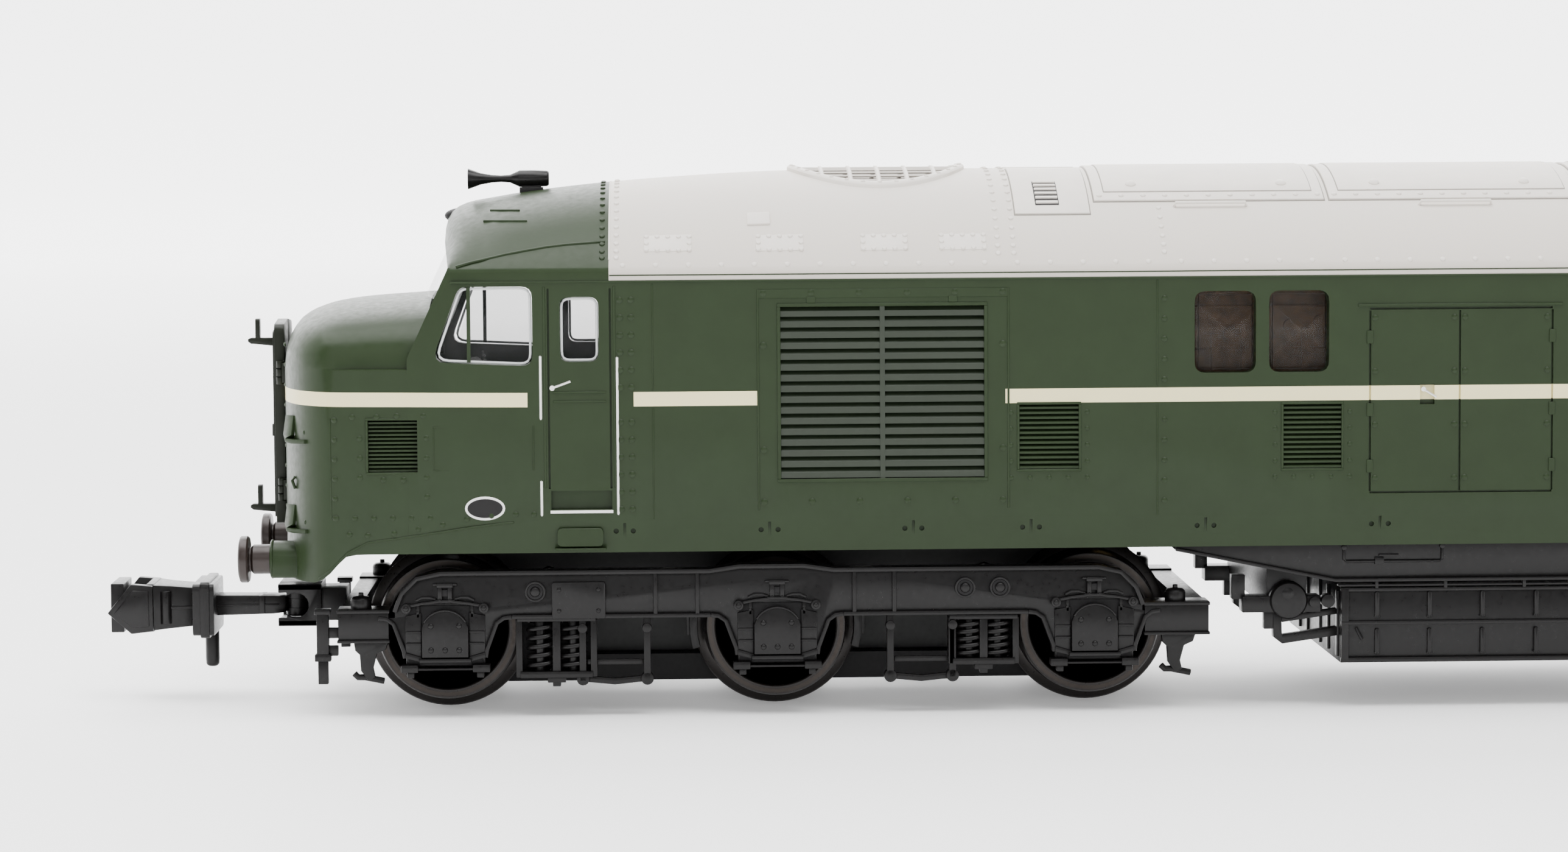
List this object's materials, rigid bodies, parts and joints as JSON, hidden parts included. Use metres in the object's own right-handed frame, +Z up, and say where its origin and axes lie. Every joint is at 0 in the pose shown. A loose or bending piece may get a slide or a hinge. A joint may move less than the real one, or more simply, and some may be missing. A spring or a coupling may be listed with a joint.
{
  "type": "model diesel locomotive",
  "caption": "Small-scale model diesel-electric locomotive with a cab and nose at each end, green body, grey roof, three-axle bogies and hook couplings.",
  "frame": {"origin": "middle of the locomotive, on the track plane at the bottom of the wheel flanges", "axes": "+X towards end b, +Y across to the right-hand side of end a's driver, +Z up"},
  "size_m": [0.1404, 0.019, 0.0273],
  "materials": {
    "body_green": "satin dark green paint",
    "roof_grey": "satin light grey paint",
    "black_plastic": "satin",
    "inner_plastic": "matt",
    "gear_plastic": "natural acetal",
    "glazing": "clear",
    "insert_print": "printed card",
    "chassis_alloy": "blackened die casting",
    "wheel_metal": "chemically blackened",
    "buffer_metal": "dark brown",
    "motor_steel": "plated",
    "brass": "turned",
    "armature_copper": "wound",
    "board": "solder resist"
  },
  "bodies": {
    "chassis": {"body_shell": "body_green", "chassis_left": "chassis_alloy", "chassis_right": "chassis_alloy", "underframe": "black_plastic", "battery_box": "black_plastic", "circuit_board": "board", "motor_can": "motor_steel", "motor_end_cap": "inner_plastic", "roof_fan_grille": "roof_grey", "side_glazing_left": "glazing", "side_glazing_right": "glazing", "engine_insert_left": "insert_print", "engine_insert_right": "insert_print", "nose_door_a": "black_plastic", "buffer_a_left": "buffer_metal", "buffer_a_right": "buffer_metal", "horn_a": "black_plastic", "cab_interior_a": "inner_plastic", "cab_glazing_a": "glazing", "nose_door_b": "black_plastic", "buffer_b_left": "buffer_metal", "buffer_b_right": "buffer_metal", "horn_b": "black_plastic", "cab_interior_b": "inner_plastic", "cab_glazing_b": "glazing"},
    "motor_rotor": {"motor_armature": "armature_copper", "flywheel_a": "brass", "flywheel_b": "brass"},
    "bogie_a": {"bogie_frame_a": "black_plastic", "gear_tower_a": "black_plastic", "keeper_plate_a": "black_plastic", "coupling_pocket_a": "black_plastic"},
    "cardan_a": {"cardan_shaft_a": "gear_plastic"},
    "worm_a": {"worm_a": "brass"},
    "worm_wheel_a": {"worm_wheel_a": "gear_plastic"},
    "idler_a_outer_1": {"idler_a_outer_1": "gear_plastic"},
    "idler_a_outer_2": {"idler_a_outer_2": "gear_plastic"},
    "idler_a_inner_1": {"idler_a_inner_1": "gear_plastic"},
    "idler_a_inner_2": {"idler_a_inner_2": "gear_plastic"},
    "wheelset_a1": {"wheelset_a1": "wheel_metal"},
    "wheelset_a2": {"wheelset_a2": "wheel_metal"},
    "wheelset_a3": {"wheelset_a3": "wheel_metal"},
    "coupling_ring_a": {"coupling_ring_a": "black_plastic"},
    "coupling_arm_a": {"coupling_arm_a": "black_plastic"},
    "bogie_b": {"bogie_frame_b": "black_plastic", "gear_tower_b": "black_plastic", "keeper_plate_b": "black_plastic", "coupling_pocket_b": "black_plastic"},
    "cardan_b": {"cardan_shaft_b": "gear_plastic"},
    "worm_b": {"worm_b": "brass"},
    "worm_wheel_b": {"worm_wheel_b": "gear_plastic"},
    "idler_b_outer_1": {"idler_b_outer_1": "gear_plastic"},
    "idler_b_outer_2": {"idler_b_outer_2": "gear_plastic"},
    "idler_b_inner_1": {"idler_b_inner_1": "gear_plastic"},
    "idler_b_inner_2": {"idler_b_inner_2": "gear_plastic"},
    "wheelset_b1": {"wheelset_b1": "wheel_metal"},
    "wheelset_b2": {"wheelset_b2": "wheel_metal"},
    "wheelset_b3": {"wheelset_b3": "wheel_metal"},
    "coupling_ring_b": {"coupling_ring_b": "black_plastic"},
    "coupling_arm_b": {"coupling_arm_b": "black_plastic"}
  },
  "joints": [
    {"name": "motor_spin", "type": "hinge", "parent": "chassis", "child": "motor_rotor", "pos_m": [0, 0, 0.01433], "axis": [1, 0, 0], "continuous": true},
    {"name": "bogie_a_yaw", "type": "hinge", "parent": "chassis", "child": "bogie_a", "pos_m": [-0.03657, 0, 0.00413], "axis": [0, 0, 1], "range_deg": [-10, 10]},
    {"name": "cardan_a_spin", "type": "hinge", "parent": "chassis", "child": "cardan_a", "pos_m": [-0.0247, 0, 0.01433], "axis": [1, 0, 0], "continuous": true},
    {"name": "worm_a_spin", "type": "hinge", "parent": "bogie_a", "child": "worm_a", "pos_m": [-0.03657, 0, 0.01433], "axis": [1, 0, 0], "continuous": true},
    {"name": "worm_wheel_a_spin", "type": "hinge", "parent": "bogie_a", "child": "worm_wheel_a", "pos_m": [-0.03657, 0, 0.01083], "axis": [0, 1, 0], "continuous": true},
    {"name": "idler_a_outer_1_spin", "type": "hinge", "parent": "bogie_a", "child": "idler_a_outer_1", "pos_m": [-0.04164, 0, 0.00872], "axis": [0, 1, 0], "continuous": true},
    {"name": "idler_a_outer_2_spin", "type": "hinge", "parent": "bogie_a", "child": "idler_a_outer_2", "pos_m": [-0.04772, 0, 0.0062], "axis": [0, 1, 0], "continuous": true},
    {"name": "idler_a_inner_1_spin", "type": "hinge", "parent": "bogie_a", "child": "idler_a_inner_1", "pos_m": [-0.0315, 0, 0.00872], "axis": [0, 1, 0], "continuous": true},
    {"name": "idler_a_inner_2_spin", "type": "hinge", "parent": "bogie_a", "child": "idler_a_inner_2", "pos_m": [-0.02542, 0, 0.0062], "axis": [0, 1, 0], "continuous": true},
    {"name": "wheelset_a1_spin", "type": "hinge", "parent": "bogie_a", "child": "wheelset_a1", "pos_m": [-0.0527, 0, 0.00413], "axis": [0, 1, 0], "continuous": true},
    {"name": "wheelset_a2_spin", "type": "hinge", "parent": "bogie_a", "child": "wheelset_a2", "pos_m": [-0.03623, 0, 0.00413], "axis": [0, 1, 0], "continuous": true},
    {"name": "wheelset_a3_spin", "type": "hinge", "parent": "bogie_a", "child": "wheelset_a3", "pos_m": [-0.02043, 0, 0.00413], "axis": [0, 1, 0], "continuous": true},
    {"name": "coupling_a_swing", "type": "hinge", "parent": "bogie_a", "child": "coupling_ring_a", "pos_m": [-0.06072, 0, 0.00488], "axis": [0, 0, 1], "range_deg": [-8, 8], "stiffness_Nm_per_rad": 0.00001},
    {"name": "coupling_a_lift", "type": "hinge", "parent": "coupling_ring_a", "child": "coupling_arm_a", "pos_m": [-0.06072, 0, 0.00488], "axis": [0, 1, 0], "range_deg": [0, 6]},
    {"name": "bogie_b_yaw", "type": "hinge", "parent": "chassis", "child": "bogie_b", "pos_m": [0.03657, 0, 0.00413], "axis": [0, 0, 1], "range_deg": [-10, 10]},
    {"name": "cardan_b_spin", "type": "hinge", "parent": "chassis", "child": "cardan_b", "pos_m": [0.0247, 0, 0.01433], "axis": [1, 0, 0], "continuous": true},
    {"name": "worm_b_spin", "type": "hinge", "parent": "bogie_b", "child": "worm_b", "pos_m": [0.03657, 0, 0.01433], "axis": [1, 0, 0], "continuous": true},
    {"name": "worm_wheel_b_spin", "type": "hinge", "parent": "bogie_b", "child": "worm_wheel_b", "pos_m": [0.03657, 0, 0.01083], "axis": [0, 1, 0], "continuous": true},
    {"name": "idler_b_outer_1_spin", "type": "hinge", "parent": "bogie_b", "child": "idler_b_outer_1", "pos_m": [0.04164, 0, 0.00872], "axis": [0, 1, 0], "continuous": true},
    {"name": "idler_b_outer_2_spin", "type": "hinge", "parent": "bogie_b", "child": "idler_b_outer_2", "pos_m": [0.04772, 0, 0.0062], "axis": [0, 1, 0], "continuous": true},
    {"name": "idler_b_inner_1_spin", "type": "hinge", "parent": "bogie_b", "child": "idler_b_inner_1", "pos_m": [0.0315, 0, 0.00872], "axis": [0, 1, 0], "continuous": true},
    {"name": "idler_b_inner_2_spin", "type": "hinge", "parent": "bogie_b", "child": "idler_b_inner_2", "pos_m": [0.02542, 0, 0.0062], "axis": [0, 1, 0], "continuous": true},
    {"name": "wheelset_b1_spin", "type": "hinge", "parent": "bogie_b", "child": "wheelset_b1", "pos_m": [0.0527, 0, 0.00413], "axis": [0, 1, 0], "continuous": true},
    {"name": "wheelset_b2_spin", "type": "hinge", "parent": "bogie_b", "child": "wheelset_b2", "pos_m": [0.03623, 0, 0.00413], "axis": [0, 1, 0], "continuous": true},
    {"name": "wheelset_b3_spin", "type": "hinge", "parent": "bogie_b", "child": "wheelset_b3", "pos_m": [0.02043, 0, 0.00413], "axis": [0, 1, 0], "continuous": true},
    {"name": "coupling_b_swing", "type": "hinge", "parent": "bogie_b", "child": "coupling_ring_b", "pos_m": [0.06072, 0, 0.00488], "axis": [0, 0, 1], "range_deg": [-8, 8], "stiffness_Nm_per_rad": 0.00001},
    {"name": "coupling_b_lift", "type": "hinge", "parent": "coupling_ring_b", "child": "coupling_arm_b", "pos_m": [0.06072, 0, 0.00488], "axis": [0, -1, 0], "range_deg": [0, 6]}
  ],
  "couplings": [
    {"joint": "cardan_a_spin", "follows": "motor_spin", "ratio": 1},
    {"joint": "worm_a_spin", "follows": "motor_spin", "ratio": 1},
    {"joint": "worm_wheel_a_spin", "follows": "motor_spin", "ratio": 0.045455},
    {"joint": "idler_a_outer_1_spin", "follows": "motor_spin", "ratio": -0.030395},
    {"joint": "idler_a_outer_2_spin", "follows": "motor_spin", "ratio": 0.030395},
    {"joint": "idler_a_inner_1_spin", "follows": "motor_spin", "ratio": -0.030395},
    {"joint": "idler_a_inner_2_spin", "follows": "motor_spin", "ratio": 0.030395},
    {"joint": "wheelset_a1_spin", "follows": "motor_spin", "ratio": -0.047619},
    {"joint": "wheelset_a3_spin", "follows": "motor_spin", "ratio": -0.047619},
    {"joint": "cardan_b_spin", "follows": "motor_spin", "ratio": 1},
    {"joint": "worm_b_spin", "follows": "motor_spin", "ratio": 1},
    {"joint": "worm_wheel_b_spin", "follows": "motor_spin", "ratio": 0.045455},
    {"joint": "idler_b_outer_1_spin", "follows": "motor_spin", "ratio": -0.030395},
    {"joint": "idler_b_outer_2_spin", "follows": "motor_spin", "ratio": 0.030395},
    {"joint": "idler_b_inner_1_spin", "follows": "motor_spin", "ratio": -0.030395},
    {"joint": "idler_b_inner_2_spin", "follows": "motor_spin", "ratio": 0.030395},
    {"joint": "wheelset_b1_spin", "follows": "motor_spin", "ratio": -0.047619},
    {"joint": "wheelset_b3_spin", "follows": "motor_spin", "ratio": -0.047619}
  ]
}
